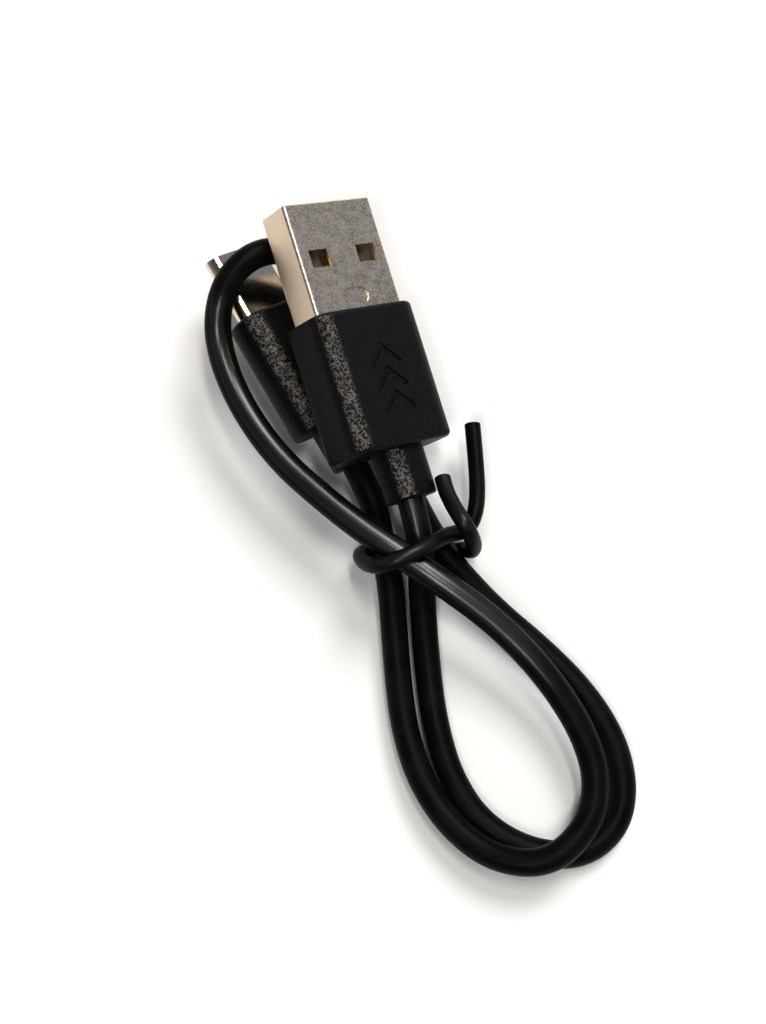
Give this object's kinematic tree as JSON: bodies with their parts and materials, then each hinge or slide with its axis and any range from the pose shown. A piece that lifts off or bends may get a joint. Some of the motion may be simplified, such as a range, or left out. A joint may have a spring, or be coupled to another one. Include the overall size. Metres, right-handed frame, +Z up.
{
  "type": "usb-c charging cable",
  "caption": "Short black charging cable with a flat rectangular plug at one end and a small oval plug at the other, looped into a hank and held by a twisted wire tie.",
  "frame": {"origin": "on the table under the middle of the box round the two plugs", "axes": "+Z up from the table, +Y roughly from the cord exits towards the plug tips, +X to the right of the plugs seen from above"},
  "size_m": [0.0475, 0.0738, 0.0187],
  "materials": {
    "cord_jacket": "satin black PVC",
    "tie_coat": "satin black plastic coat",
    "tie_core": "bare steel wire",
    "overmould": "fine leather grain, matte black",
    "plated_shell": "nickel plated, finely scratched",
    "polished_shell": "polished steel",
    "insulator": "plain black",
    "inner_mould": "natural polyethylene",
    "board": "green solder mask",
    "resistor": "black ceramic chip",
    "spring_steel": "bare spring steel",
    "contact": "gold flash",
    "red_insulation": "plain",
    "white_insulation": "plain",
    "green_insulation": "plain",
    "black_insulation": "plain"
  },
  "bodies": {
    "root": {"cord": "cord_jacket", "tie_coat": "tie_coat", "tie_core": "tie_core", "usb_a_black_lead": "black_insulation", "usb_a_data_minus_contact": "contact", "usb_a_data_plus_contact": "contact", "usb_a_green_lead": "green_insulation", "usb_a_ground_contact": "contact", "usb_a_inner_mould": "inner_mould", "usb_a_overmould": "overmould", "usb_a_power_contact": "contact", "usb_a_red_lead": "red_insulation", "usb_a_shell": "plated_shell", "usb_a_tongue": "insulator", "usb_a_white_lead": "white_insulation", "usb_c_black_lead": "black_insulation", "usb_c_board": "board", "usb_c_green_lead": "green_insulation", "usb_c_housing": "insulator", "usb_c_inner_mould": "inner_mould", "usb_c_latch": "spring_steel", "usb_c_lower_contacts": "contact", "usb_c_overmould": "overmould", "usb_c_red_lead": "red_insulation", "usb_c_resistor": "resistor", "usb_c_shell": "polished_shell", "usb_c_upper_contacts": "contact", "usb_c_white_lead": "white_insulation"}
  },
  "joints": []
}
